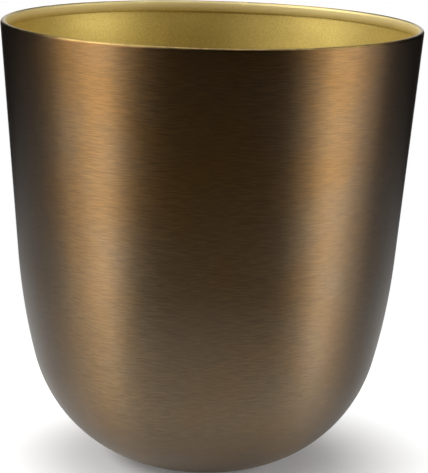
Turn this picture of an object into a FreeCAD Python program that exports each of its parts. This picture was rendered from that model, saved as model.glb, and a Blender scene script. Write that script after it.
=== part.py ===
"""Metal cachepot: a tapering sheet-metal wall with a folded rim, a pressed bowl as its bottom, four felt pads.

Millimetres and degrees. The origin is on the pot's axis in the plane that it stands on, and +Z points up.
In a section, X is the distance from the axis and Y is the height.
"""

import FreeCAD, Part
import math
import os

import Sketcher

# Driving sizes
SIZES = {
    # the pot as a whole
    "mouth_radius": 95.0,  # widest circle of the folded rim
    "pot_height": 201.0,  # from the metal's flat underside to the top of the rim
    "sheet_thickness": 0.8,  # wall and bowl are the same gauge
    # the seam where the wall and the bowl are welded edge to edge
    "seam_radius": 78.4,
    "seam_height": 48.0,  # above the metal's flat underside
    "seam_angle": 14.1,  # lean of both sheets from upright there
    "belly_radius": 297.0,  # curve of the wall between the seam and its straight part
    # the folded rim
    "rim_bend_radius": 0.5,  # inside of the fold
    "rim_leg": 3.8,  # straight part of the turned-in edge
    "rim_gap": 0.15,  # between the turned-in edge and the wall
    # the bowl's flat bottom
    "base_flat_radius": 34.0,  # where the bowl's curve would run into the flat
    "heel_radius": 12.0,  # rounding between the two
    "ring_inner_radius": 18.0,  # the standing ring runs from here to the heel
    "panel_radius": 15.0,  # raised panel in the middle
    "panel_rise": 1.5,
    # the felt pads
    "pad_radius": 6.0,
    "pad_thickness": 1.5,
    "pad_circle_radius": 25.0,  # of the circle that the pads' middles lie on
    "pad_count": 4,
    "first_pad_angle": 45.0,
}

# Directions on a circle
TOP = math.radians(90.0)
LEFT = math.radians(180.0)
BOTTOM = math.radians(-90.0)
FULL_TURN = 360.0

# Points of a curve in a sketch, and the sketch's own origin and upright axis
START, END, CENTRE = range(1, 4)
ORIGIN = (-1, 1)
UPRIGHT_AXIS = -2

doc = FreeCAD.newDocument("cachepot")
sheet = doc.addObject("Spreadsheet::Sheet", "sizes")
for row, (alias, value) in enumerate(SIZES.items(), start=1):
    sheet.set(f"A{row}", alias)
    sheet.set(f"B{row}", str(value))
    sheet.setAlias(f"B{row}", alias)
doc.recompute()


def value_of(formula):
    """What a formula of the sheet's sizes comes to."""
    return float(sheet.evalExpression(formula))


def away(point, angle, distance):
    """The point so far from another, in the direction of an angle in radians."""
    return point + FreeCAD.Vector(math.cos(angle), math.sin(angle), 0) * distance


def new_body(name):
    """An empty body whose label names the piece."""
    body = doc.addObject("PartDesign::Body", name)
    body.Label = name
    return body


def new_sketch(body, name, plane):
    """A sketch on one of the body's own origin planes."""
    sketch = body.newObject("Sketcher::SketchObject", name)
    support = next(feature for feature in body.Origin.OriginFeatures if feature.Role == plane)
    sketch.AttachmentSupport = (support, "")
    sketch.MapMode = "FlatFace"
    return sketch


def add_line(sketch, start, end):
    """A straight stretch of the section."""
    return sketch.addGeometry(Part.LineSegment(start, end))


def add_arc(sketch, centre, radius, start_angle, end_angle):
    """A round stretch that runs anticlockwise between two angles in radians."""
    circle = Part.Circle(centre, FreeCAD.Vector(0, 0, 1), radius)
    return sketch.addGeometry(Part.ArcOfCircle(circle, start_angle, end_angle))


def tie(sketch, kind, *points):
    """A rule between curves or their points, with no size."""
    sketch.addConstraint(Sketcher.Constraint(kind, *points))


def measure(sketch, kind, name, formula, *points):
    """A dimension that follows a formula of the sheet's sizes."""
    value = value_of(formula)
    if kind == "Angle":
        value = math.radians(value)
    index = sketch.addConstraint(Sketcher.Constraint(kind, *points, value))
    sketch.renameConstraint(index, name)
    sketch.setExpression(f"Constraints.{name}", formula)


def revolve(body, sketch, name):
    """The section turned once round the pot's axis."""
    turned = body.newObject("PartDesign::Revolution", name)
    turned.Profile = sketch
    turned.ReferenceAxis = (sketch, ["V_Axis"])
    turned.Angle = FULL_TURN
    return turned


# Heights above the ground and radii that both metal pieces use
UNDERSIDE = "sizes.pad_thickness"
SEAM_LEVEL = "sizes.pad_thickness + sizes.seam_height"
THICKNESS = "sizes.sheet_thickness"

thickness = value_of(THICKNESS)
underside = value_of(UNDERSIDE)
seam_normal = math.radians(value_of("-sizes.seam_angle"))
seam_outside = FreeCAD.Vector(value_of("sizes.seam_radius"), value_of(SEAM_LEVEL), 0)
seam_inside = away(seam_outside, seam_normal, -thickness)


def add_seam(sketch):
    """The cut edge, square to the sheet, that the wall and the bowl share."""
    edge = add_line(sketch, seam_inside, seam_outside)
    measure(sketch, "DistanceX", "seam_radius", "sizes.seam_radius", *ORIGIN, edge, END)
    measure(sketch, "DistanceY", "seam_height", SEAM_LEVEL, *ORIGIN, edge, END)
    measure(sketch, "Angle", "seam_lean", "-sizes.seam_angle", edge)
    measure(sketch, "Distance", "seam_thickness", THICKNESS, edge)
    return edge


def draw_wall(sketch):
    """Section of the wall: belly, straight part, fold over the top, and the turned-in edge behind it."""
    # the fold, whose outside is the pot's top and its widest circle
    bend = value_of("sizes.rim_bend_radius")
    fold_x = "sizes.mouth_radius - sizes.rim_bend_radius - sizes.sheet_thickness"
    fold_y = "sizes.pad_thickness + sizes.pot_height - sizes.rim_bend_radius - sizes.sheet_thickness"
    fold = FreeCAD.Vector(value_of(fold_x), value_of(fold_y), 0)

    # the straight part touches the fold and the belly, which sets its lean
    belly_radius = value_of("sizes.belly_radius")
    belly = away(seam_outside, seam_normal, -belly_radius)
    to_fold = fold - belly
    rise = math.atan2(to_fold.y, to_fold.x)
    lean = math.acos((belly_radius - bend - thickness) / to_fold.Length) - rise

    # the turned-in edge leans back towards the wall until its cut end nearly touches
    leg = value_of("sizes.rim_leg")
    gap = value_of("sizes.rim_gap")
    leg_lean = math.acos((gap - bend) / math.hypot(bend, leg)) - math.atan2(leg, bend) - lean
    leg_start = LEFT + leg_lean
    leg_direction = leg_start + TOP

    seam = add_seam(sketch)
    belly_outside = add_arc(sketch, belly, belly_radius, seam_normal, -lean)
    fold_outside = add_arc(sketch, fold, bend + thickness, -lean, leg_start)
    wall_outside = add_line(
        sketch,
        away(belly, -lean, belly_radius),
        away(fold, -lean, bend + thickness),
    )
    leg_front_top = away(fold, leg_start, bend + thickness)
    leg_back_top = away(fold, leg_start, bend)
    leg_front_end = away(leg_front_top, leg_direction, leg)
    leg_back_end = away(leg_back_top, leg_direction, leg)
    leg_front = add_line(sketch, leg_front_top, leg_front_end)
    cut_end = add_line(sketch, leg_front_end, leg_back_end)
    leg_back = add_line(sketch, leg_back_end, leg_back_top)
    fold_inside = add_arc(sketch, fold, bend, -lean, leg_start)
    wall_inside = add_line(
        sketch,
        away(fold, -lean, bend),
        away(belly, -lean, belly_radius - thickness),
    )
    belly_inside = add_arc(sketch, belly, belly_radius - thickness, seam_normal, -lean)

    tie(sketch, "Perpendicular", seam, END, belly_outside, START)
    tie(sketch, "Tangent", belly_outside, END, wall_outside, START)
    tie(sketch, "Tangent", wall_outside, END, fold_outside, START)
    tie(sketch, "Tangent", fold_outside, END, leg_front, START)
    tie(sketch, "Perpendicular", leg_front, END, cut_end, START)
    tie(sketch, "Perpendicular", cut_end, END, leg_back, START)
    tie(sketch, "Tangent", leg_back, END, fold_inside, END)
    tie(sketch, "Tangent", fold_inside, START, wall_inside, START)
    tie(sketch, "Tangent", wall_inside, END, belly_inside, END)
    tie(sketch, "Coincident", belly_inside, START, seam, START)
    tie(sketch, "Coincident", belly_inside, CENTRE, belly_outside, CENTRE)
    tie(sketch, "Coincident", fold_inside, CENTRE, fold_outside, CENTRE)
    measure(sketch, "Radius", "belly_radius", "sizes.belly_radius", belly_outside)
    measure(sketch, "DistanceX", "fold_centre", fold_x, *ORIGIN, fold_outside, CENTRE)
    measure(sketch, "DistanceY", "fold_level", fold_y, *ORIGIN, fold_outside, CENTRE)
    measure(sketch, "Radius", "rim_bend_radius", "sizes.rim_bend_radius", fold_inside)
    outside = "sizes.rim_bend_radius + sizes.sheet_thickness"
    measure(sketch, "Radius", "rim_outer_radius", outside, fold_outside)
    measure(sketch, "Distance", "rim_leg", "sizes.rim_leg", leg_front)
    measure(sketch, "Distance", "rim_gap", "sizes.rim_gap", cut_end, END, wall_inside)


def draw_bowl(sketch):
    """Section of the bowl: curve down from the seam, heel, flat standing ring, raised middle panel."""
    # the bowl's curve goes on from the seam with no corner and aims at the edge of the flat
    flat_edge = FreeCAD.Vector(value_of("sizes.base_flat_radius"), underside, 0)
    chord = seam_outside - flat_edge
    square_on = away(FreeCAD.Vector(), seam_normal, 1)
    bowl_radius = chord.Length**2 / (2 * chord.dot(square_on))
    bowl = away(seam_outside, seam_normal, -bowl_radius)

    # the heel touches the curve and the ground side of the flat
    heel_radius = value_of("sizes.heel_radius")
    drop = underside + heel_radius - bowl.y
    reach = math.sqrt((bowl_radius - heel_radius) ** 2 - drop**2)
    heel = bowl + FreeCAD.Vector(reach, drop, 0)
    heel_end = math.atan2(drop, reach)

    # a short slope lifts the middle panel, and the sheet keeps its thickness through both of its bends
    ring_radius = value_of("sizes.ring_inner_radius")
    panel_radius = value_of("sizes.panel_radius")
    panel_rise = value_of("sizes.panel_rise")
    slope = math.atan2(panel_rise, ring_radius - panel_radius)
    step_in = thickness * math.tan(slope / 2)
    panel_level = underside + panel_rise

    seam = add_seam(sketch)
    bowl_outside = add_arc(sketch, bowl, bowl_radius, heel_end, seam_normal)
    bowl_inside = add_arc(sketch, bowl, bowl_radius - thickness, heel_end, seam_normal)
    heel_outside = add_arc(sketch, heel, heel_radius, BOTTOM, heel_end)
    heel_inside = add_arc(sketch, heel, heel_radius - thickness, BOTTOM, heel_end)
    ring_edge_below = FreeCAD.Vector(ring_radius, underside, 0)
    ring_edge_above = FreeCAD.Vector(ring_radius + step_in, underside + thickness, 0)
    panel_edge_below = FreeCAD.Vector(panel_radius, panel_level, 0)
    panel_edge_above = FreeCAD.Vector(panel_radius + step_in, panel_level + thickness, 0)
    middle_below = FreeCAD.Vector(0, panel_level, 0)
    middle_above = FreeCAD.Vector(0, panel_level + thickness, 0)
    ring_outside = add_line(sketch, ring_edge_below, away(heel, BOTTOM, heel_radius))
    ring_inside = add_line(sketch, ring_edge_above, away(heel, BOTTOM, heel_radius - thickness))
    slope_outside = add_line(sketch, panel_edge_below, ring_edge_below)
    slope_inside = add_line(sketch, panel_edge_above, ring_edge_above)
    panel_outside = add_line(sketch, middle_below, panel_edge_below)
    panel_inside = add_line(sketch, middle_above, panel_edge_above)
    middle = add_line(sketch, middle_below, middle_above)
    aim = sketch.addGeometry(Part.Point(flat_edge), True)

    tie(sketch, "Perpendicular", seam, END, bowl_outside, END)
    tie(sketch, "Coincident", seam, START, bowl_inside, END)
    tie(sketch, "Coincident", bowl_inside, CENTRE, bowl_outside, CENTRE)
    tie(sketch, "Tangent", bowl_outside, START, heel_outside, END)
    tie(sketch, "Tangent", bowl_inside, START, heel_inside, END)
    tie(sketch, "Coincident", heel_inside, CENTRE, heel_outside, CENTRE)
    tie(sketch, "Tangent", heel_outside, START, ring_outside, END)
    tie(sketch, "Tangent", heel_inside, START, ring_inside, END)
    for ring, slope_line, panel, middle_point in (
        (ring_outside, slope_outside, panel_outside, START),
        (ring_inside, slope_inside, panel_inside, END),
    ):
        tie(sketch, "Coincident", ring, START, slope_line, END)
        tie(sketch, "Coincident", slope_line, START, panel, END)
        tie(sketch, "Coincident", panel, START, middle, middle_point)
    tie(sketch, "Parallel", slope_inside, slope_outside)
    for level_line in (ring_outside, ring_inside, panel_outside, panel_inside):
        tie(sketch, "Horizontal", level_line)
    for point in (START, END):
        tie(sketch, "PointOnObject", middle, point, UPRIGHT_AXIS)
    tie(sketch, "PointOnObject", aim, START, bowl_outside)
    measure(sketch, "DistanceX", "base_flat_radius", "sizes.base_flat_radius", *ORIGIN, aim, START)
    measure(sketch, "DistanceY", "base_flat_level", UNDERSIDE, *ORIGIN, aim, START)
    measure(sketch, "DistanceY", "underside", UNDERSIDE, *ORIGIN, ring_outside, START)
    measure(sketch, "Radius", "heel_radius", "sizes.heel_radius", heel_outside)
    measure(sketch, "DistanceX", "ring_inner_radius", "sizes.ring_inner_radius", *ORIGIN, ring_outside, START)
    measure(sketch, "DistanceX", "panel_radius", "sizes.panel_radius", *ORIGIN, panel_outside, END)
    panel_underside = "sizes.pad_thickness + sizes.panel_rise"
    measure(sketch, "DistanceY", "panel_level", panel_underside, *ORIGIN, middle, START)
    measure(sketch, "Distance", "panel_thickness", THICKNESS, middle)
    measure(sketch, "Distance", "slope_thickness", THICKNESS, slope_inside, END, slope_outside)


def make_turned_piece(name, draw):
    """A sheet-metal piece turned from its section."""
    body = new_body(name)
    sketch = new_sketch(body, f"{name}_section", "XZ_Plane")
    draw(sketch)
    revolve(body, sketch, f"{name}_turned")
    return body


def make_pad(number):
    """A die-cut felt disc stuck under the standing ring."""
    name = f"foot_pad_{number}"
    body = new_body(name)
    sketch = new_sketch(body, f"{name}_outline", "XY_Plane")
    disc = Part.Circle(FreeCAD.Vector(), FreeCAD.Vector(0, 0, 1), value_of("sizes.pad_radius"))
    outline = sketch.addGeometry(disc)
    tie(sketch, "Coincident", outline, CENTRE, *ORIGIN)
    measure(sketch, "Radius", "pad_radius", "sizes.pad_radius", outline)
    felt = body.newObject("PartDesign::Pad", f"{name}_felt")
    felt.Profile = sketch
    felt.setExpression("Length", "sizes.pad_thickness")
    turn = f"(sizes.first_pad_angle + {number - 1} * {FULL_TURN} / sizes.pad_count) * 1 deg"
    body.setExpression("Placement.Base.x", f"sizes.pad_circle_radius * cos({turn})")
    body.setExpression("Placement.Base.y", f"sizes.pad_circle_radius * sin({turn})")
    return body


pieces = [
    make_turned_piece("pot_wall", draw_wall),
    make_turned_piece("pot_base", draw_bowl),
]
for pad_number in range(1, int(value_of("sizes.pad_count")) + 1):
    pieces.append(make_pad(pad_number))
doc.recompute()

for thing in doc.Objects:
    if "Invalid" in thing.State or "Error" in thing.State:
        raise RuntimeError(f"{thing.Name} did not build: {thing.State}")
for piece in pieces:
    if piece.Shape.isNull() or not piece.Shape.isValid() or len(piece.Shape.Solids) != 1:
        raise RuntimeError(f"{piece.Label} is not one valid solid")

os.makedirs("parts", exist_ok=True)
for piece in pieces:
    piece.Shape.exportStep(f"parts/{piece.Label}.step")
    corners = piece.Shape.optimalBoundingBox()
    print(
        f"{piece.Label}: {piece.Shape.Volume:.1f} mm3,"
        f" x to {corners.XMax:.2f}, height {corners.ZMin:.2f} to {corners.ZMax:.2f}"
    )
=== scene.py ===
"""Cachepot of thin sheet metal: brushed antique brass outside, satin gold paint inside.

Metres. The origin is on the pot's axis, in the plane that it stands on, and +Z points up. In a section, the
first number is the distance from the axis and the second is the height.
"""

import math

import bpy
from bpy.props import FloatProperty, FloatVectorProperty, IntProperty, PointerProperty
from mathutils import Matrix, Vector


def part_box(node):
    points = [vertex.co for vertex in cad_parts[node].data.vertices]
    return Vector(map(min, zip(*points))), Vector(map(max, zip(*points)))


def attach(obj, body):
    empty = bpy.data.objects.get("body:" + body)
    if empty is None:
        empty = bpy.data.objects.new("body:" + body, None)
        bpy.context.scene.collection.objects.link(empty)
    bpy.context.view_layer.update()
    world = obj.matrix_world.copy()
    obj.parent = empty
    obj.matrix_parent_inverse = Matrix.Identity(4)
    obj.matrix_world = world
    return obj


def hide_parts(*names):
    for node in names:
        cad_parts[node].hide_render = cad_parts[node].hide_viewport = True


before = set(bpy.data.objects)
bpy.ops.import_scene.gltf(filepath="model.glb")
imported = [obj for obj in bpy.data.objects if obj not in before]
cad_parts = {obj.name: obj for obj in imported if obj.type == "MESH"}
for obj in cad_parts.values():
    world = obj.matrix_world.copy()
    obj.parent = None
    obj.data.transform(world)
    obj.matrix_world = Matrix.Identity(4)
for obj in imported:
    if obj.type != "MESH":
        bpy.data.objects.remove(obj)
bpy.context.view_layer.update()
WALL_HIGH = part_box("pot_wall")[1]
BASE_LOW, BASE_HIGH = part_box("pot_base")
PAD_LOW, PAD_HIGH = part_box("foot_pad_1")
PAD_NAMES = sorted(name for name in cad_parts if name.startswith("foot_pad"))

bl_info = {
    "name": "Cachepot",
    "version": (1, 0, 0),
    "blender": (4, 5, 0),
    "location": "View3D > Sidebar > Cachepot",
    "description": "Models a folded-rim metal cachepot and the studio that it stands in",
    "category": "Object",
}

# A quarter turn and a whole turn
QUARTER = math.radians(90.0)
TURN = math.radians(360.0)


def length(name, description, default):
    """A length in metres that a user may change."""
    return FloatProperty(name=name, description=description, default=default, min=0.0,
                         subtype="DISTANCE", unit="LENGTH", precision=5)


def angle(name, description, degrees):
    """An angle that a user may change."""
    return FloatProperty(name=name, description=description, default=math.radians(degrees),
                         subtype="ANGLE", unit="ROTATION")


def colour(name, description, default):
    """A colour that a user may change."""
    return FloatVectorProperty(name=name, description=description, default=default, size=3,
                               min=0.0, max=1.0, subtype="COLOR")


def share(name, description, default):
    """A number from 0 to 1 that a user may change."""
    return FloatProperty(name=name, description=description, default=default, min=0.0, max=1.0,
                         subtype="FACTOR")


def brightness(name, description):
    """A factor on the power of some lamps that a user may change."""
    return FloatProperty(name=name, description=description, default=1.0, min=0.0)


class PotSizes(bpy.types.PropertyGroup):
    """Sizes of the metal sheet and its folds"""

    mouth_radius: length("Mouth radius", "Widest circle of the folded rim", WALL_HIGH.x)
    rim_top: length("Rim top", "Height of the rim above the ground", WALL_HIGH.z)
    underside: length("Underside", "Height of the standing ring above the ground", BASE_LOW.z)
    sheet: length("Sheet thickness", "Gauge of the wall and the bowl", 0.0008)
    seam_radius: length("Seam radius", "Outside radius where the wall meets the bowl", BASE_HIGH.x)
    seam_height: length("Seam height", "Height of the seam above the standing ring", 0.048)
    seam_lean: angle("Seam lean", "Lean of both sheets from upright at the seam", 14.1)
    belly_radius: length("Belly radius", "Curve of the wall above the seam", 0.297)
    fold_radius: length("Fold radius", "Inside radius of the folded rim", 0.0005)
    leg: length("Turned-in edge", "Straight part of the folded rim", 0.0038)
    leg_gap: length("Gap", "Between the cut end of the rim and the wall", 0.00015)
    edge_round: length("Edge rounding", "Radius left on the rim's cut end", 0.00018)
    flat_radius: length("Flat radius", "Where the bowl's curve would run into the flat", 0.034)
    heel_radius: length("Heel radius", "Rounding between the bowl and the flat", 0.012)
    ring_radius: length("Ring radius", "Inner edge of the standing ring", 0.018)
    panel_radius: length("Panel radius", "Edge of the raised panel", 0.015)
    panel_rise: length("Panel rise", "Height of the raised panel over the ring", 0.0015)
    turns: IntProperty(name="Steps round the pot", description="Facets in one turn", default=512,
                       min=64, max=640)


class BrassLook(bpy.types.PropertyGroup):
    """Brushed and darkened brass under a clear lacquer"""

    rim: colour("Brass at the rim", "Warmest and most saturated", (0.196, 0.093, 0.015))
    # The greyer foot colour is a painted reflection of the pale floor in the lacquer
    foot: colour("Brass at the foot", "Greyer, where the brass is more worn", (0.165, 0.110, 0.056))
    line_depth: share("Line depth", "How much darker the brush lines are", 0.40)
    # The lighter crest colour is partly wear and partly a painted highlight of the overhead light
    crest_wear_and_highlight: colour("Rubbed brass", "Colour where the rim is worn bright", (0.62, 0.43, 0.14))
    roughness: share("Roughness", "Across the brush lines", 0.42)
    brushing: share("Brushing", "How far highlights are drawn out by the brush lines", 0.88)
    lacquer: share("Lacquer", "Clear lacquer over the metal", 0.45)


class PaintLook(bpy.types.PropertyGroup):
    """Satin gold paint inside the pot"""

    body: colour("Paint", "Gold paint", (0.75, 0.577, 0.168))
    shade: colour("Thin paint", "Gold paint where the coat is thin", (0.60, 0.456, 0.124))
    # The lighter colour on the fold is a painted highlight along the hem
    hem_highlight: colour("Paint on the fold", "Lighter gold paint along the folded rim", (1.0, 0.85, 0.42))
    metal: share("Metal", "Metal flake in the paint", 0.6)
    roughness: share("Roughness", "Satin sheen of the paint", 0.42)


class FeltLook(bpy.types.PropertyGroup):
    """Pressed felt of the foot pads"""

    fibre: colour("Fibre", "Main colour of the felt", (0.10, 0.08, 0.065))
    fluff: colour("Fluff", "Lighter loose fibres", (0.19, 0.16, 0.135))


class StudioLook(bpy.types.PropertyGroup):
    """Lamps and light round the pot"""

    left: brightness("Left lamps", "Brightness of the lamps on the left")
    right: brightness("Right lamps", "Brightness of the lamps on the right")
    top: brightness("Top lamp", "Brightness of the lamp overhead")
    room: share("Room", "Even light from all round", 0.1)


# Steps along each stretch of the two sections
BELLY_STEPS = 24
WALL_STEPS = 12
FOLD_STEPS = 26
FOLD_INSIDE_STEPS = 10
LEG_STEPS = 6
LEG_BACK_STEPS = 3
BOWL_STEPS = 44
HEEL_STEPS = 12
RING_STEPS = 6
PANEL_STEPS = 8

# Share of the first step from the seam at which a point is added, to keep the seam crisp
SEAM_POINT_SHARE = 0.03

# Share of the slope between ring and panel that each of its bends takes
BEND_SHARE = 0.45


def up(tilt):
    """A direction in a section, tilted up from level."""
    return Vector((math.cos(tilt), math.sin(tilt)))


def arc(centre, radius, start, end, steps):
    """Points along a round stretch of a section, both ends included."""
    return [centre + up(start + (end - start) * step / steps) * radius for step in range(steps + 1)]


def straight(start, end, steps):
    """Points inside a straight stretch of a section, both ends left out."""
    return [start.lerp(end, step / steps) for step in range(1, steps)]


def rounded(before, corner, after, radius, steps=4):
    """A corner of a section worn to a small curve."""
    first = corner + (before - corner).normalized() * radius
    last = corner + (after - corner).normalized() * radius
    return [first.lerp(corner, step / steps).lerp(corner.lerp(last, step / steps), step / steps)
            for step in range(steps + 1)]


def seam_edge(sizes):
    """Outer corner of the seam, and the direction out of the sheet there."""
    out = up(-sizes.seam_lean)
    outside = Vector((sizes.seam_radius, sizes.underside + sizes.seam_height))
    return outside, out


def wall_section(sizes):
    """Belly, straight wall, fold, turned-in edge, and back down the inside to the seam."""
    outside, out = seam_edge(sizes)
    fold_outer = sizes.fold_radius + sizes.sheet
    fold = Vector((sizes.mouth_radius - fold_outer, sizes.rim_top - fold_outer))
    belly = outside - out * sizes.belly_radius
    to_fold = fold - belly
    lean = math.acos((sizes.belly_radius - fold_outer) / to_fold.length) - math.atan2(to_fold.y, to_fold.x)
    leg_slope = math.atan2(sizes.leg, sizes.fold_radius)
    leg_reach = math.hypot(sizes.fold_radius, sizes.leg)
    leg_start = 2 * QUARTER + math.acos((sizes.leg_gap - sizes.fold_radius) / leg_reach) - leg_slope - lean
    leg_down = up(leg_start + QUARTER) * sizes.leg

    belly_outside = arc(belly, sizes.belly_radius, -sizes.seam_lean, -lean, BELLY_STEPS)
    belly_inside = arc(belly, sizes.belly_radius - sizes.sheet, -lean, -sizes.seam_lean, BELLY_STEPS)
    fold_outside = arc(fold, fold_outer, -lean, leg_start, FOLD_STEPS)
    fold_inside = arc(fold, sizes.fold_radius, leg_start, -lean, FOLD_INSIDE_STEPS)
    front_end = fold_outside[-1] + leg_down
    back_end = fold_inside[0] + leg_down
    near_seam = belly_outside[0].lerp(belly_outside[1], SEAM_POINT_SHARE)
    return [
        belly_outside[0],
        near_seam,
        *belly_outside[1:],
        *straight(belly_outside[-1], fold_outside[0], WALL_STEPS),
        *fold_outside,
        *straight(fold_outside[-1], front_end, LEG_STEPS),
        *rounded(fold_outside[-1], front_end, back_end, sizes.edge_round),
        *rounded(front_end, back_end, fold_inside[0], sizes.edge_round),
        *straight(back_end, fold_inside[0], LEG_BACK_STEPS),
        *fold_inside,
        *straight(fold_inside[-1], belly_inside[0], WALL_STEPS),
        *belly_inside,
        belly_outside[0],
    ]


def bowl_section(sizes):
    """From the axis out along the underside, up the bowl to the seam, and back down the inside."""
    outside, out = seam_edge(sizes)
    chord = outside - Vector((sizes.flat_radius, sizes.underside))
    bowl_radius = chord.length_squared / (2 * chord.dot(out))
    bowl = outside - out * bowl_radius
    drop = sizes.underside + sizes.heel_radius - bowl.y
    reach = math.sqrt((bowl_radius - sizes.heel_radius) ** 2 - drop**2)
    heel = bowl + Vector((reach, drop))
    heel_end = math.atan2(drop, reach)

    slope = math.atan2(sizes.panel_rise, sizes.ring_radius - sizes.panel_radius)
    step_in = sizes.sheet * math.tan(slope / 2)
    level = sizes.underside + sizes.panel_rise
    middle_below = Vector((0.0, level))
    middle_above = Vector((0.0, level + sizes.sheet))
    panel_below = Vector((sizes.panel_radius, level))
    panel_above = Vector((sizes.panel_radius + step_in, level + sizes.sheet))
    ring_below = Vector((sizes.ring_radius, sizes.underside))
    ring_above = Vector((sizes.ring_radius + step_in, sizes.underside + sizes.sheet))
    heel_below = arc(heel, sizes.heel_radius, -QUARTER, heel_end, HEEL_STEPS)
    heel_above = arc(heel, sizes.heel_radius - sizes.sheet, heel_end, -QUARTER, HEEL_STEPS)
    bowl_outside = arc(bowl, bowl_radius, heel_end, -sizes.seam_lean, BOWL_STEPS)
    bowl_inside = arc(bowl, bowl_radius - sizes.sheet, -sizes.seam_lean, heel_end, BOWL_STEPS)
    near_seam = bowl_outside[-1].lerp(bowl_outside[-2], SEAM_POINT_SHARE)
    bend = (sizes.ring_radius - sizes.panel_radius) * BEND_SHARE
    return [
        middle_below,
        *straight(middle_below, panel_below, PANEL_STEPS),
        *rounded(middle_below, panel_below, ring_below, bend),
        *rounded(panel_below, ring_below, heel_below[0], bend),
        *straight(ring_below, heel_below[0], RING_STEPS),
        *heel_below,
        *bowl_outside[1:-1],
        near_seam,
        bowl_outside[-1],
        *bowl_inside,
        *heel_above[1:],
        *straight(heel_above[-1], ring_above, RING_STEPS),
        *rounded(heel_above[-1], ring_above, panel_above, bend),
        *rounded(ring_above, panel_above, middle_above, bend),
        *straight(panel_above, middle_above, PANEL_STEPS),
        middle_above,
    ]


# Points closer than this become one
MERGE_DISTANCE = 1e-6

# Size of the plane that shrinks to the first point of a section
FIRST_PLANE = 0.001

# Edges sharper than this stay sharp
SHARP_METAL = math.radians(50.0)
SHARP_FELT = math.radians(60.0)

# Place of the brass in the list of a metal piece's finishes, after the paint
BRASS_SLOT = 1


def start_piece():
    """Nothing stays selected, so the next primitive is worked on by itself."""
    bpy.ops.object.select_all(action="DESELECT")


def edit(kind):
    """Enters edit mode with nothing selected, to work on vertices, edges or faces."""
    bpy.ops.object.mode_set(mode="EDIT")
    bpy.ops.mesh.select_mode(type=kind)
    bpy.ops.mesh.select_all(action="DESELECT")


def select_faces(piece, chosen):
    """Enters edit mode with the faces selected that a test picks by their middle and normal."""
    edit("FACE")
    bpy.ops.object.mode_set(mode="OBJECT")
    for face in piece.data.polygons:
        face.select = chosen(face.center, face.normal)
    bpy.ops.object.mode_set(mode="EDIT")


def turn_section(name, section, turns):
    """Draws a section point by point and spins it once round the pot's axis."""
    start_piece()
    first = Vector((section[0].x, 0.0, section[0].y))
    bpy.ops.mesh.primitive_plane_add(size=FIRST_PLANE, location=first)
    piece = bpy.context.active_object
    piece.name = name
    piece.data.name = name
    edit("VERT")
    bpy.ops.mesh.select_all(action="SELECT")
    bpy.ops.mesh.merge(type="CENTER")
    last = section[0]
    for point in section[1:]:
        move = (point.x - last.x, 0.0, point.y - last.y)
        bpy.ops.mesh.extrude_vertices_move(TRANSFORM_OT_translate={"value": move})
        last = point
    bpy.ops.object.mode_set(mode="OBJECT")
    bpy.ops.object.transform_apply(location=True, rotation=True, scale=True)
    bpy.ops.object.modifier_add(type="SCREW")
    sweep = piece.modifiers[0]
    sweep.angle = TURN
    sweep.steps = turns
    sweep.render_steps = turns
    sweep.use_merge_vertices = True
    sweep.merge_threshold = MERGE_DISTANCE
    bpy.ops.object.modifier_apply(modifier=sweep.name)
    bpy.ops.object.mode_set(mode="EDIT")
    bpy.ops.mesh.select_all(action="SELECT")
    bpy.ops.mesh.remove_doubles(threshold=MERGE_DISTANCE)
    bpy.ops.mesh.normals_make_consistent(inside=False)
    bpy.ops.object.mode_set(mode="OBJECT")
    bpy.ops.object.shade_smooth_by_angle(angle=SHARP_METAL)
    return piece


def paint_faces(piece, slot_number, chosen):
    """Gives one of the piece's finishes to the faces that a test picks by their middle and normal."""
    select_faces(piece, chosen)
    piece.active_material_index = slot_number
    bpy.ops.object.material_slot_assign()
    bpy.ops.mesh.select_all(action="DESELECT")
    bpy.ops.object.mode_set(mode="OBJECT")


def outwards(middle, normal):
    """How far a face looks away from the pot's axis, from -1 to 1."""
    radius = max(math.hypot(middle.x, middle.y), 1e-9)
    return (normal.x * middle.x + normal.y * middle.y) / radius


def seat(piece, slot, *nodes):
    """The finished piece stands for its solids and stays with the pot."""
    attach(piece, "root")
    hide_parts(*nodes)


def finish(name):
    """An empty node material with its shader and output."""
    material = bpy.data.materials.new(name)
    material.use_nodes = True
    tree = material.node_tree
    tree.nodes.clear()
    output = tree.nodes.new("ShaderNodeOutputMaterial")
    shader = tree.nodes.new("ShaderNodeBsdfPrincipled")
    tree.links.new(shader.outputs[0], output.inputs["Surface"])
    return material, tree, shader


def plug(tree, value, socket):
    """Links a socket or sets a plain value."""
    if isinstance(value, bpy.types.NodeSocket):
        tree.links.new(value, socket)
    else:
        socket.default_value = value


def sums(tree, operation, *values):
    """One step of arithmetic."""
    node = tree.nodes.new("ShaderNodeMath")
    node.operation = operation
    for value, socket in zip(values, node.inputs):
        plug(tree, value, socket)
    return node.outputs[0]


def vectors(tree, operation, *values):
    """One step of vector arithmetic."""
    node = tree.nodes.new("ShaderNodeVectorMath")
    node.operation = operation
    for value, socket in zip(values, node.inputs):
        plug(tree, value, socket)
    return node.outputs["Value" if operation == "LENGTH" else "Vector"]


def scaled(tree, vector, factor):
    """A vector or a colour times a number."""
    result = vectors(tree, "SCALE", vector)
    plug(tree, factor, result.node.inputs["Scale"])
    return result


def part_of(tree, vector, axis):
    """One of the three numbers of a vector."""
    parts = tree.nodes.new("ShaderNodeSeparateXYZ")
    tree.links.new(vector, parts.inputs[0])
    return parts.outputs[axis]


def place_on_piece(tree):
    """The place on the piece, in metres."""
    return tree.nodes.new("ShaderNodeTexCoord").outputs["Object"]


def ramp(tree, value, low, high, to_low=0.0, to_high=1.0):
    """Spreads a value between two limits with soft ends."""
    node = tree.nodes.new("ShaderNodeMapRange")
    node.interpolation_type = "SMOOTHSTEP"
    sockets = ("Value", "From Min", "From Max", "To Min", "To Max")
    for name, given in zip(sockets, (value, low, high, to_low, to_high)):
        plug(tree, given, node.inputs[name])
    return node.outputs[0]


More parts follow.
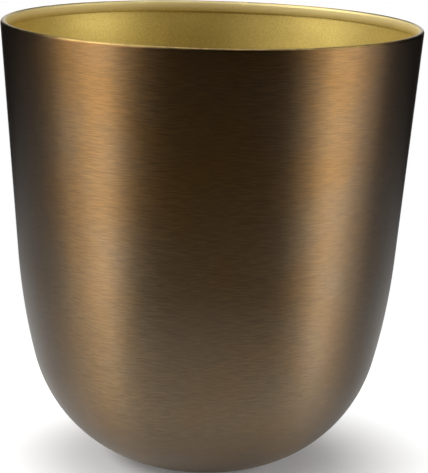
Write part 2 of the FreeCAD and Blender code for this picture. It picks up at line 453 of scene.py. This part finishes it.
def shows_background(tree, path):
    """Is 1 on a ray from the camera, off a shiny surface or through a clear one, and otherwise 0."""
    seen = sums(tree, "MAXIMUM", path.outputs["Is Camera Ray"], path.outputs["Is Glossy Ray"])
    return sums(tree, "MAXIMUM", seen, path.outputs["Is Transmission Ray"])


def blend(tree, factor, first, second):
    """Mixes two colours."""
    node = tree.nodes.new("ShaderNodeMix")
    node.data_type = "RGBA"
    plug(tree, factor, node.inputs[0])
    plug(tree, first, node.inputs[6])
    plug(tree, second, node.inputs[7])
    return node.outputs[2]


def grain(tree, vector, scale, detail=2.0, roughness=0.5):
    """Cloudy noise at a place."""
    node = tree.nodes.new("ShaderNodeTexNoise")
    node.inputs["Scale"].default_value = scale
    node.inputs["Detail"].default_value = detail
    node.inputs["Roughness"].default_value = roughness
    tree.links.new(vector, node.inputs["Vector"])
    return node.outputs["Fac"]


def raised(tree, height, depth):
    """Bump of a given depth in metres."""
    node = tree.nodes.new("ShaderNodeBump")
    node.inputs["Strength"].default_value = 1.0
    node.inputs["Distance"].default_value = depth
    tree.links.new(height, node.inputs["Height"])
    return node.outputs["Normal"]


def brush_lines(tree, direction, along, shortness, density):
    """Noise drawn out round the pot into lines, stacked along the sheet's section."""
    stack = tree.nodes.new("ShaderNodeCombineXYZ")
    tree.links.new(sums(tree, "MULTIPLY", along, density), stack.inputs["Z"])
    return grain(tree, vectors(tree, "ADD", scaled(tree, direction, shortness), stack.outputs[0]), 1.0)


def near_rim(tree, height, sizes, start, full):
    """Grows from 0 to 1 between two depths under the rim's top."""
    return ramp(tree, height, sizes.rim_top - start, sizes.rim_top - full)


def rgb(values):
    """A colour with full cover."""
    return (*values, 1.0)


# Brush lines: how short they are, and how many there are in a metre
WAVER = (3.0, 25.0)
FINE_LINES = (15.0, 4200.0)
BROAD_LINES = (12.0, 1900.0)
DARK_DASHES = (30.0, 3000.0)

# How far the brush lines waver up and down, and the share of the fine ones among them
WAVER_HEIGHT = 0.002
FINE_SHARE = 0.65

# Share of the rim's colour at the ground and at a height well above the rim, which greys the brass towards
# the foot as a painted reflection of the pale floor in the lacquer, and how much the patches add
REFLECTION_TONE_AT_GROUND = -0.25
REFLECTION_TONE_ABOVE_RIM = 0.78
HEIGHT_ABOVE_RIM = 0.26
TONE_OF_PATCHES = 0.45

# How bright a dash leaves the metal, and how far the lines change its roughness
DASH_SHADE = 0.8
LINE_ROUGHNESS = 0.03

LACQUER_ROUGHNESS = 0.34
LACQUER_IOR = 1.5

# Scale of each patchy or grainy noise
TARNISH_PATCHES = 28.0
CREST_WEAR_AND_HIGHLIGHT_PATCHES = 160.0
PAINT_PATCHES = 60.0
PAINT_GRAIN = 1800.0
FELT_FIBRES = 1400.0
FELT_TUFTS = 420.0

# Depth of each surface's relief
LINE_RELIEF = 0.000012
PAINT_RELIEF = 0.00003
FELT_RELIEF = 0.00025

# Depth under the rim's top where a finish starts to change, and where it has changed: on the crest a
# lighter colour that is partly wear and partly painted highlight, on the hem a painted highlight
CREST_HIGHLIGHT_BAND = (0.0009, 0.0003)
HEM_HIGHLIGHT_BAND = (0.0055, 0.0015)

# Share of the grain in the paint's mottling, and how much rougher the paint is on the hem
PAINT_GRAIN_SHARE = 0.75
HEM_ROUGHER = 0.18


def brushed_brass(look, sizes):
    """Brass brushed round the pot, darkened and lacquered."""
    material, tree, shader = finish("brushed_brass")
    place = place_on_piece(tree)
    height = part_of(tree, place, "Z")
    level = vectors(tree, "MULTIPLY", place, (1.0, 1.0, 0.0))
    direction = vectors(tree, "NORMALIZE", level)
    along = sums(tree, "ADD", height, vectors(tree, "LENGTH", level))
    wave = brush_lines(tree, direction, along, *WAVER)
    along = sums(tree, "MULTIPLY_ADD", wave, WAVER_HEIGHT, along)
    fine = brush_lines(tree, direction, along, *FINE_LINES)
    broad = brush_lines(tree, direction, along, *BROAD_LINES)
    lines = sums(tree, "MULTIPLY_ADD", broad, 1.0 - FINE_SHARE, sums(tree, "MULTIPLY", fine, FINE_SHARE))

    # The brass is greyer towards the foot, a painted reflection of the pale floor in the lacquer; it is
    # greyer in patches, and darker along its lines and dashes
    clouds = ramp(tree, grain(tree, place, TARNISH_PATCHES, 4.0, 0.6), 0.3, 0.7)
    painted_sheen_and_patches = ramp(tree, height, 0.0, HEIGHT_ABOVE_RIM, REFLECTION_TONE_AT_GROUND, REFLECTION_TONE_ABOVE_RIM)
    painted_sheen_and_patches = sums(tree, "MULTIPLY_ADD", clouds, TONE_OF_PATCHES, painted_sheen_and_patches)
    metal = blend(tree, painted_sheen_and_patches, rgb(look.foot), rgb(look.rim))
    dashes = ramp(tree, brush_lines(tree, direction, along, *DARK_DASHES), 0.60, 0.72)
    shade = sums(tree, "MULTIPLY", ramp(tree, lines, 0.33, 0.67, 1.0 - look.line_depth, 1.0),
                 ramp(tree, dashes, 0.0, 1.0, 1.0, DASH_SHADE))

    # The crest of the fold gets a lighter colour in uneven patches: partly wear, partly a painted highlight
    # of the light from above
    patches = ramp(tree, grain(tree, place, CREST_WEAR_AND_HIGHLIGHT_PATCHES), 0.35, 0.6, 0.55, 1.0)
    crest_wear_and_highlight_mask = sums(tree, "MULTIPLY", near_rim(tree, height, sizes, *CREST_HIGHLIGHT_BAND), patches)
    brass = blend(tree, crest_wear_and_highlight_mask, scaled(tree, metal, shade), rgb(look.crest_wear_and_highlight))
    plug(tree, brass, shader.inputs["Base Color"])

    roughness = ramp(tree, lines, 0.3, 0.7,
                     look.roughness - LINE_ROUGHNESS, look.roughness + LINE_ROUGHNESS)
    plug(tree, roughness, shader.inputs["Roughness"])
    plug(tree, raised(tree, lines, LINE_RELIEF), shader.inputs["Normal"])
    shader.inputs["Metallic"].default_value = 1.0
    shader.inputs["Coat Weight"].default_value = look.lacquer
    shader.inputs["Coat Roughness"].default_value = LACQUER_ROUGHNESS
    shader.inputs["Coat IOR"].default_value = LACQUER_IOR

    # A quarter turn draws the highlights out across the lines, up and down the pot
    shader.inputs["Anisotropic"].default_value = look.brushing
    shader.inputs["Anisotropic Rotation"].default_value = 0.25
    tangent = tree.nodes.new("ShaderNodeTangent")
    tangent.direction_type = "RADIAL"
    tangent.axis = "Z"
    tree.links.new(tangent.outputs[0], shader.inputs["Tangent"])
    return material


def gold_paint(look, sizes):
    """Satin gold paint with a fine sprayed grain, duller on the hem, where a painted highlight makes it
    lighter.
    """
    material, tree, shader = finish("gold_paint")
    place = place_on_piece(tree)
    speck = grain(tree, place, PAINT_GRAIN, 2.0, 0.6)
    patches = grain(tree, place, PAINT_PATCHES)
    mottling = sums(tree, "MULTIPLY_ADD", patches, 1.0 - PAINT_GRAIN_SHARE,
                    sums(tree, "MULTIPLY", speck, PAINT_GRAIN_SHARE))
    coat = blend(tree, ramp(tree, mottling, 0.62, 0.38), rgb(look.body), rgb(look.shade))
    # Band along the hem where the paint is rougher and gets the painted highlight
    hem_highlight = near_rim(tree, part_of(tree, place, "Z"), sizes, *HEM_HIGHLIGHT_BAND)
    plug(tree, blend(tree, hem_highlight, coat, rgb(look.hem_highlight)), shader.inputs["Base Color"])
    satin = ramp(tree, patches, 0.3, 0.7, look.roughness - 0.01, look.roughness + 0.02)
    plug(tree, sums(tree, "MULTIPLY_ADD", hem_highlight, HEM_ROUGHER, satin), shader.inputs["Roughness"])
    plug(tree, raised(tree, speck, PAINT_RELIEF), shader.inputs["Normal"])
    shader.inputs["Metallic"].default_value = look.metal
    return material


def pressed_felt(look):
    """Dense dark felt with loose lighter fibres."""
    material, tree, shader = finish("pressed_felt")
    place = place_on_piece(tree)
    tangle = grain(tree, place, FELT_FIBRES, 5.0, 0.75)
    tufts = grain(tree, place, FELT_TUFTS, 3.0, 0.6)
    fluff = sums(tree, "MULTIPLY", ramp(tree, tangle, 0.5, 0.68), ramp(tree, tufts, 0.35, 0.6))
    plug(tree, blend(tree, fluff, rgb(look.fibre), rgb(look.fluff)), shader.inputs["Base Color"])
    plug(tree, raised(tree, sums(tree, "ADD", tangle, tufts), FELT_RELIEF), shader.inputs["Normal"])
    shader.inputs["Roughness"].default_value = 0.95
    shader.inputs["Sheen Weight"].default_value = 0.4
    shader.inputs["Sheen Roughness"].default_value = 0.6
    return material


# Each small dent on the rim: degrees round the pot, depth and width
RIM_DENTS = (
    (144.5, 0.00035, 0.0022),
    (111.5, 0.0003, 0.0016),
    (81.0, 0.0004, 0.0014),
    (66.0, 0.0003, 0.0012),
)

# Tilt of the fold's curve where the dents sit, and how far each is pushed outwards and down for its depth
DENT_TILT = math.radians(125.0)
DENT_OUTWARDS = 0.6
DENT_DOWN = 0.8

# A face is brass if it looks outwards at least this much, or is on the fold and tilted up more than this
BRASS_OUTWARDS = 0.05
BRASS_TILT = math.radians(55.0)


class MakeWall(bpy.types.Operator):
    """Models the wall with its belly and folded rim, brass outside and gold inside"""

    bl_idname = "cachepot.make_wall"
    bl_label = "Wall and folded rim"

    def execute(self, context):
        sizes = context.scene.pot_sizes
        piece = turn_section("wall", wall_section(sizes), sizes.turns)
        for degrees, depth, width in RIM_DENTS:
            self.dent(piece, sizes, math.radians(degrees), depth, width)
        piece.data.materials.append(gold_paint(context.scene.paint_look, sizes))
        piece.data.materials.append(brushed_brass(context.scene.brass_look, sizes))
        fold_level = sizes.rim_top - sizes.fold_radius - sizes.sheet
        paint_faces(piece, BRASS_SLOT, lambda middle, normal: outwards(middle, normal) > BRASS_OUTWARDS
                    or (middle.z > fold_level and normal.z > math.sin(BRASS_TILT)))
        seat(piece, "antique_brass", "pot_wall")
        return {"FINISHED"}

    def dent(self, piece, sizes, turn, depth, width):
        """Pushes a small place on the inner shoulder of the rim down and outwards."""
        fold_outer = sizes.fold_radius + sizes.sheet
        shoulder = up(DENT_TILT) * fold_outer
        radius = sizes.mouth_radius - fold_outer + shoulder.x
        height = sizes.rim_top - fold_outer + shoulder.y
        spot = Vector((math.cos(turn) * radius, math.sin(turn) * radius, height))
        nearest = min(piece.data.vertices, key=lambda vertex: (vertex.co - spot).length_squared).index
        edit("VERT")
        bpy.ops.object.mode_set(mode="OBJECT")
        piece.data.vertices[nearest].select = True
        push = Vector((math.cos(turn) * DENT_OUTWARDS, math.sin(turn) * DENT_OUTWARDS, -DENT_DOWN)) * depth
        bpy.ops.object.mode_set(mode="EDIT")
        bpy.ops.transform.translate(value=push, use_proportional_edit=True,
                                    proportional_edit_falloff="SMOOTH", proportional_size=width)
        bpy.ops.object.mode_set(mode="OBJECT")


class MakeBase(bpy.types.Operator):
    """Models the pressed bowl with its standing ring and raised middle panel"""

    bl_idname = "cachepot.make_base"
    bl_label = "Pressed bowl"

    def execute(self, context):
        sizes = context.scene.pot_sizes
        piece = turn_section("bowl", bowl_section(sizes), sizes.turns)
        piece.data.materials.append(bpy.data.materials["gold_paint"])
        piece.data.materials.append(bpy.data.materials["brushed_brass"])
        paint_faces(piece, BRASS_SLOT, lambda middle, normal: normal.z < 0)
        seat(piece, "antique_brass", "pot_base")
        return {"FINISHED"}


# Rounding of a pad's lower edge, and how far each ring on its flat faces lies inside the last
PAD_ROUNDING = 0.0004
PAD_RINGS = (0.0008, 0.0012, 0.0014)

# A point lower than the first is on the ground, and a face whose normal is steeper than the second is flat
ON_GROUND = 1e-5
FLAT = 0.99


class MakePads(bpy.types.Operator):
    """Models one felt pad and copies it to its four places"""

    bl_idname = "cachepot.make_pads"
    bl_label = "Felt pads"

    def execute(self, context):
        first = self.shape(context)
        first.data.materials.append(pressed_felt(context.scene.felt_look))
        for name in PAD_NAMES:
            low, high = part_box(name)
            pad = first.copy()
            pad.data = first.data.copy()
            pad.name = "felt_" + name.rsplit("_", 1)[1]
            pad.data.name = pad.name
            pad.data.transform(Matrix.Translation(((low.x + high.x) / 2, (low.y + high.y) / 2, low.z)))
            context.collection.objects.link(pad)
            seat(pad, "felt", name)
        bpy.data.objects.remove(first)
        return {"FINISHED"}

    def shape(self, context):
        """A disc with a rounded lower edge, and rings on its flat faces."""
        radius = (PAD_HIGH.x - PAD_LOW.x) / 2
        thickness = PAD_HIGH.z - PAD_LOW.z
        start_piece()
        bpy.ops.mesh.primitive_cylinder_add(vertices=64, radius=radius, depth=thickness,
                                            location=(0.0, 0.0, thickness / 2))
        first = context.active_object
        bpy.ops.object.transform_apply(location=True, rotation=True, scale=True)
        edit("EDGE")
        bpy.ops.object.mode_set(mode="OBJECT")
        for edge in first.data.edges:
            edge.select = all(first.data.vertices[index].co.z < ON_GROUND for index in edge.vertices)
        bpy.ops.object.mode_set(mode="EDIT")
        bpy.ops.mesh.bevel(offset=PAD_ROUNDING, segments=4)
        bpy.ops.object.mode_set(mode="OBJECT")
        select_faces(first, lambda middle, normal: abs(normal.z) > FLAT)
        for inset in PAD_RINGS:
            bpy.ops.mesh.inset(thickness=inset, depth=0.0)
        bpy.ops.object.mode_set(mode="OBJECT")
        bpy.ops.object.shade_smooth_by_angle(angle=SHARP_FELT)
        return first


# Each lamp's name, place, width and height in metres, and power in watts
LAMPS = (
    ("left_low_outer", (-1.43, -0.45, -0.15), (0.8, 0.9), 3.1),
    ("left_low_middle", (-1.32, -0.70, -0.15), (0.5, 0.9), 4.0),
    ("left_low_inner", (-1.22, -0.87, -0.15), (0.4, 0.9), 2.2),
    ("left_middle", (-1.43, -0.45, 0.6), (0.8, 0.6), 4.6),
    ("left_high", (-1.40, -0.55, 1.3), (1.6, 0.8), 28.5),
    ("left_wide", (-1.62, -0.50, 0.3), (1.9, 1.8), 3.0),
    ("right_deep", (1.47, -0.31, -0.75), (0.6, 0.5), 10.7),
    ("right_low", (1.47, -0.31, -0.15), (0.6, 0.9), 2.7),
    ("right_middle", (1.43, -0.45, 0.6), (0.7, 0.6), 5.1),
    ("right_wide", (1.64, -0.42, 0.3), (1.7, 1.8), 10.9),
    ("top_over", (0.0, 0.5, 1.9), (1.6, 0.8), 9.0),
)

# A lamp that hangs higher than the first looks down at the second, on the pot's axis
OVERHEAD = 1.5
AIM_HEIGHT = 0.1

WHITE = (1.0, 1.0, 1.0, 1.0)

# The table top's radius, and where it fades out, as the camera sees it and as light meets it
TABLE_RADIUS = 0.75
SEEN_FADE = (0.15, 0.26)
FADE_START = 0.10
FADE_END_IN_FRONT = 0.35
FADE_END_BEHIND = 0.74

# Y of a direction on the table where it stops being in front of the pot, and where it is behind
BEHIND = (-0.55, 0.2)

# White that the table top adds at the foot and further out, between two distances from the axis; the low
# white at the foot is a painted shadow round the pot
PAINTED_SHADOW_AT_FOOT = 0.1
TABLE_WHITE = 0.75
PAINTED_SHADOW_EDGE = (0.04, 0.12)

# Share of that white that reflections lose behind the pot, a painted shade in what the brass mirrors
PAINTED_SHADE_BEHIND = 0.7

# The black cloth's distance, and half the width and height of the gap that it leaves behind the pot
CLOTH_RADIUS = 3.0
GAP_TURN = math.radians(14.0)
GAP_HEIGHT = 1.2

# The camera's place, its lens and sensor in millimetres, and how far it pans, dips and rolls
CAMERA_PLACE = (0.0, -0.950, 0.30974)
CAMERA_LENS = 160.98
CAMERA_SENSOR = 36.0
CAMERA_PAN = math.radians(-0.197)
CAMERA_DIP = math.radians(12.221)
CAMERA_ROLL = math.radians(1.543)


class MakeStudio(bpy.types.Operator):
    """Sets the floor, the lamps, the dark screens and the camera"""

    bl_idname = "cachepot.make_studio"
    bl_label = "Studio and camera"

    def execute(self, context):
        look = context.scene.studio_look
        self.world(context, look.room)
        self.floor()
        self.screens()
        for name, place, size, power in LAMPS:
            self.lamp(name, Vector(place), size, power * getattr(look, name.split("_")[0]))
        self.camera(context)
        context.scene.view_settings.view_transform = "Standard"
        return {"FINISHED"}

    def world(self, context, room):
        """White on the rays that show the background, and a dim light on everything."""
        world = bpy.data.worlds.new("studio")
        context.scene.world = world
        world.use_nodes = True
        tree = world.node_tree
        tree.nodes.clear()
        output = tree.nodes.new("ShaderNodeOutputWorld")
        background = tree.nodes.new("ShaderNodeBackground")
        background.inputs["Color"].default_value = WHITE
        seen = shows_background(tree, tree.nodes.new("ShaderNodeLightPath"))
        plug(tree, ramp(tree, seen, 0.0, 1.0, room, 1.0), background.inputs["Strength"])
        tree.links.new(background.outputs[0], output.inputs["Surface"])

    def floor(self):
        """A small pale table top that fades into the white background, with a painted shadow round the
        foot.
        """
        start_piece()
        bpy.ops.mesh.primitive_circle_add(vertices=128, radius=TABLE_RADIUS, fill_type="NGON")
        floor = bpy.context.active_object
        floor.name = "floor"
        material, tree, shader = finish("pale_floor")
        shader.inputs["Roughness"].default_value = 0.9
        shader.inputs["Specular IOR Level"].default_value = 0.1
        shader.inputs["Base Color"].default_value = (0.8, 0.8, 0.8, 1.0)
        path = tree.nodes.new("ShaderNodeLightPath")
        camera_ray = path.outputs["Is Camera Ray"]
        place = place_on_piece(tree)
        away = vectors(tree, "LENGTH", place)
        behind = ramp(tree, part_of(tree, vectors(tree, "NORMALIZE", place), "Y"), *BEHIND)

        # It fades out further off behind the pot than in front of it, and is clear from below
        reach = sums(tree, "MULTIPLY_ADD", behind, FADE_END_BEHIND - FADE_END_IN_FRONT, FADE_END_IN_FRONT)
        start = ramp(tree, camera_ray, 0.0, 1.0, FADE_START, SEEN_FADE[0])
        end = ramp(tree, camera_ray, 0.0, 1.0, reach, SEEN_FADE[1])
        facing = tree.nodes.new("ShaderNodeNewGeometry").outputs["Backfacing"]
        from_above = sums(tree, "SUBTRACT", 1.0, facing)
        cover = sums(tree, "MULTIPLY", ramp(tree, away, start, end, 1.0, 0.0), from_above)
        plug(tree, cover, shader.inputs["Alpha"])

        # Its white is only for rays that show the background; it is a painted glow, dimmed round the foot
        # as a painted shadow and, in reflections, dimmed behind the pot as painted shade
        shader.inputs["Emission Color"].default_value = WHITE
        in_front = sums(tree, "MULTIPLY_ADD", behind, -PAINTED_SHADE_BEHIND, 1.0)
        glow_with_painted_shade = sums(tree, "MULTIPLY", ramp(tree, away, *PAINTED_SHADOW_EDGE, PAINTED_SHADOW_AT_FOOT, TABLE_WHITE),
                    sums(tree, "MAXIMUM", camera_ray, in_front))
        white = sums(tree, "MULTIPLY", shows_background(tree, path), glow_with_painted_shade)
        plug(tree, white, shader.inputs["Emission Strength"])
        floor.data.materials.append(material)

    def screens(self):
        """Black cloth round the studio, open behind the pot, that only reflections see."""
        start_piece()
        bpy.ops.mesh.primitive_uv_sphere_add(segments=48, ring_count=24, radius=CLOTH_RADIUS)
        screens = bpy.context.active_object
        screens.name = "screens"
        select_faces(screens, lambda middle, normal: abs(math.atan2(middle.x, middle.y)) < GAP_TURN
                     and abs(middle.z) < GAP_HEIGHT)
        bpy.ops.mesh.delete(type="FACE")
        bpy.ops.object.mode_set(mode="OBJECT")
        material, tree, shader = finish("black_cloth")
        shader.inputs["Base Color"].default_value = (0.01, 0.01, 0.01, 1.0)
        shader.inputs["Roughness"].default_value = 1.0
        shader.inputs["Specular IOR Level"].default_value = 0.0
        screens.data.materials.append(material)
        for ray in ("camera", "diffuse", "transmission", "shadow", "volume_scatter"):
            setattr(screens, "visible_" + ray, False)

    def lamp(self, name, place, size, power):
        """A soft rectangular lamp that looks level at the pot's axis, or down on it from overhead."""
        data = bpy.data.lights.new(name, "AREA")
        data.shape = "RECTANGLE"
        data.size, data.size_y = size
        data.energy = power
        lamp = bpy.data.objects.new(name, data)
        lamp.location = place
        aim = Vector((0.0, 0.0, AIM_HEIGHT if place.z > OVERHEAD else place.z)) - place
        lamp.rotation_euler = aim.to_track_quat("-Z", "Y").to_euler()
        lamp.visible_camera = False
        bpy.context.collection.objects.link(lamp)

    def camera(self, context):
        """Looks down on the pot from in front, a little over the rim."""
        data = bpy.data.cameras.new("camera")
        data.lens = CAMERA_LENS
        data.sensor_width = CAMERA_SENSOR
        camera = bpy.data.objects.new("camera", data)
        pan = Matrix.Rotation(CAMERA_PAN, 3, "Z")
        tilt = Matrix.Rotation(QUARTER - CAMERA_DIP, 3, "X")
        roll = Matrix.Rotation(CAMERA_ROLL, 3, "Z")
        camera.location = CAMERA_PLACE
        camera.rotation_euler = (pan @ tilt @ roll).to_euler()
        context.collection.objects.link(camera)
        context.scene.camera = camera


class CachepotPanel(bpy.types.Panel):
    """Lists the pot's pieces and their settings"""

    bl_idname = "VIEW3D_PT_cachepot"
    bl_label = "Cachepot"
    bl_space_type = "VIEW_3D"
    bl_region_type = "UI"
    bl_category = "Cachepot"

    def draw(self, context):
        for operator in OPERATORS:
            self.layout.operator(operator.bl_idname)
        for name, group in GROUPS:
            settings = getattr(context.scene, name)
            box = self.layout.box()
            box.label(text=group.__doc__)
            for key in group.__annotations__:
                box.prop(settings, key)


GROUPS = (
    ("pot_sizes", PotSizes),
    ("brass_look", BrassLook),
    ("paint_look", PaintLook),
    ("felt_look", FeltLook),
    ("studio_look", StudioLook),
)
OPERATORS = (MakeWall, MakeBase, MakePads, MakeStudio)


def register():
    for name, group in GROUPS:
        bpy.utils.register_class(group)
        setattr(bpy.types.Scene, name, PointerProperty(type=group))
    for operator in OPERATORS:
        bpy.utils.register_class(operator)
    bpy.utils.register_class(CachepotPanel)


def unregister():
    bpy.utils.unregister_class(CachepotPanel)
    for operator in reversed(OPERATORS):
        bpy.utils.unregister_class(operator)
    for name, group in reversed(GROUPS):
        delattr(bpy.types.Scene, name)
        bpy.utils.unregister_class(group)


def main():
    """Makes the pot and its studio."""
    register()
    bpy.ops.cachepot.make_wall()
    bpy.ops.cachepot.make_base()
    bpy.ops.cachepot.make_pads()
    bpy.ops.cachepot.make_studio()


if __name__ == "__main__":
    main()
